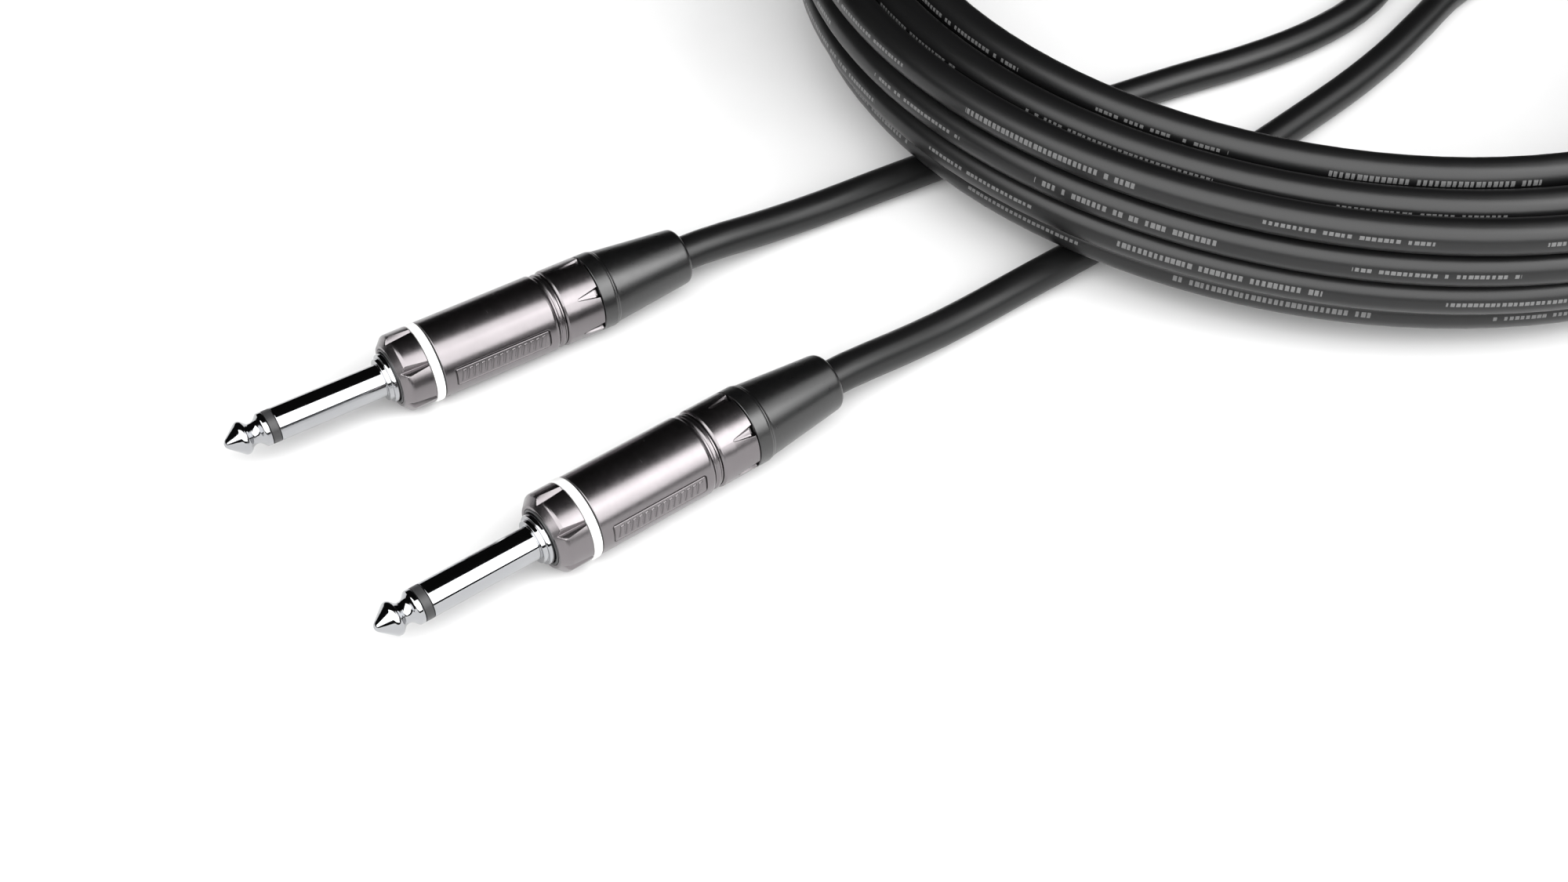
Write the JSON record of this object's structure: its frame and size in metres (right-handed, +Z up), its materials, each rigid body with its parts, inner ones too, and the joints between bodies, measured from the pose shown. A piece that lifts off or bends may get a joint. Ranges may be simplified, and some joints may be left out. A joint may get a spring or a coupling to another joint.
{
  "type": "instrument cable",
  "caption": "Instrument cable: black 7 mm cord wound in a round coil, with a straight screw-shell 6.35 mm plug, white marker ring and tapered boot on each end.",
  "frame": {"origin": "middle of the two plugs' box, on the surface they lie on", "axes": "+Z up, +X along the long side of the pair of plugs, from their tips towards their cords, +Y away from the front plug"},
  "size_m": [0.3402, 0.3064, 0.0387],
  "materials": {
    "chrome": "polished",
    "gunmetal": "satin, dark plated",
    "black_plastic": "satin",
    "white_ring": "satin",
    "boot_rubber": "satin",
    "cord_jacket": "satin PVC",
    "liner_plastic": "matt",
    "chuck_plastic": "matt",
    "core_insulation": "satin",
    "copper": "bare copper",
    "brass": "plain",
    "solder": "satin"
  },
  "bodies": {
    "root": {"plug_a_tip_contact": "chrome", "plug_a_front_insulator": "black_plastic", "plug_a_sleeve_contact": "chrome", "plug_a_rear_insulator": "black_plastic", "plug_a_tip_terminal": "brass", "plug_a_tip_solder": "solder", "plug_a_centre_conductor": "copper", "plug_a_core_insulation": "core_insulation", "plug_a_cable_jacket_end": "cord_jacket", "plug_a_shield_pigtail": "copper", "plug_a_shield_solder": "solder", "plug_a_sleeve_terminal": "brass", "plug_a_cable_clamp": "brass", "plug_a_seal_ring": "black_plastic", "plug_a_barrel": "gunmetal", "plug_a_barrel_liner": "liner_plastic", "plug_a_barrel_ring": "gunmetal", "plug_b_tip_contact": "chrome", "plug_b_front_insulator": "black_plastic", "plug_b_sleeve_contact": "chrome", "plug_b_rear_insulator": "black_plastic", "plug_b_tip_terminal": "brass", "plug_b_tip_solder": "solder", "plug_b_centre_conductor": "copper", "plug_b_core_insulation": "core_insulation", "plug_b_cable_jacket_end": "cord_jacket", "plug_b_shield_pigtail": "copper", "plug_b_shield_solder": "solder", "plug_b_sleeve_terminal": "brass", "plug_b_cable_clamp": "brass", "plug_b_seal_ring": "black_plastic", "plug_b_barrel": "gunmetal", "plug_b_barrel_liner": "liner_plastic", "plug_b_barrel_ring": "gunmetal", "cord_tail_a": "cord_jacket", "cord_coil": "cord_jacket", "cord_tail_b": "cord_jacket"},
    "plug_a_ring_body": {"plug_a_colour_ring": "white_ring"},
    "plug_a_nut_body": {"plug_a_front_nut": "gunmetal"},
    "plug_a_chuck_body": {"plug_a_chuck": "chuck_plastic"},
    "plug_a_gland_body": {"plug_a_rear_collar": "gunmetal", "plug_a_boot": "boot_rubber"},
    "plug_b_ring_body": {"plug_b_colour_ring": "white_ring"},
    "plug_b_nut_body": {"plug_b_front_nut": "gunmetal"},
    "plug_b_chuck_body": {"plug_b_chuck": "chuck_plastic"},
    "plug_b_gland_body": {"plug_b_rear_collar": "gunmetal", "plug_b_boot": "boot_rubber"}
  },
  "joints": [
    {"name": "plug_a_ring_travel", "type": "slide", "parent": "root", "child": "plug_a_ring_body", "axis": [-0.8374, -0.5465, 0], "range_m": [0, 0.003]},
    {"name": "plug_a_nut_turn", "type": "hinge", "parent": "plug_a_ring_body", "child": "plug_a_nut_body", "pos_m": [-0.02588, 0.01226, 0.00759], "axis": [-0.8374, -0.5465, 0], "range_deg": [0, 1080]},
    {"name": "plug_a_chuck_travel", "type": "slide", "parent": "root", "child": "plug_a_chuck_body", "axis": [0.8374, 0.5465, 0], "range_m": [0, 0.003]},
    {"name": "plug_a_gland_turn", "type": "hinge", "parent": "plug_a_chuck_body", "child": "plug_a_gland_body", "pos_m": [0.01155, 0.03669, 0.00759], "axis": [0.8374, 0.5465, 0], "range_deg": [0, 1080]},
    {"name": "plug_b_ring_travel", "type": "slide", "parent": "root", "child": "plug_b_ring_body", "axis": [-0.7914, -0.6113, 0], "range_m": [0, 0.003]},
    {"name": "plug_b_nut_turn", "type": "hinge", "parent": "plug_b_ring_body", "child": "plug_b_nut_body", "pos_m": [0.00528, -0.02688, 0.00759], "axis": [-0.7914, -0.6113, 0], "range_deg": [0, 1080]},
    {"name": "plug_b_chuck_travel", "type": "slide", "parent": "root", "child": "plug_b_chuck_body", "axis": [0.7914, 0.6113, 0], "range_m": [0, 0.003]},
    {"name": "plug_b_gland_turn", "type": "hinge", "parent": "plug_b_chuck_body", "child": "plug_b_gland_body", "pos_m": [0.04065, 0.00044, 0.00759], "axis": [0.7914, 0.6113, 0], "range_deg": [0, 1080]}
  ],
  "couplings": [
    {"joint": "plug_a_ring_travel", "follows": "plug_a_nut_turn", "m_per_rad": 0.00015915},
    {"joint": "plug_a_chuck_travel", "follows": "plug_a_gland_turn", "m_per_rad": 0.00015915},
    {"joint": "plug_b_ring_travel", "follows": "plug_b_nut_turn", "m_per_rad": 0.00015915},
    {"joint": "plug_b_chuck_travel", "follows": "plug_b_gland_turn", "m_per_rad": 0.00015915}
  ]
}
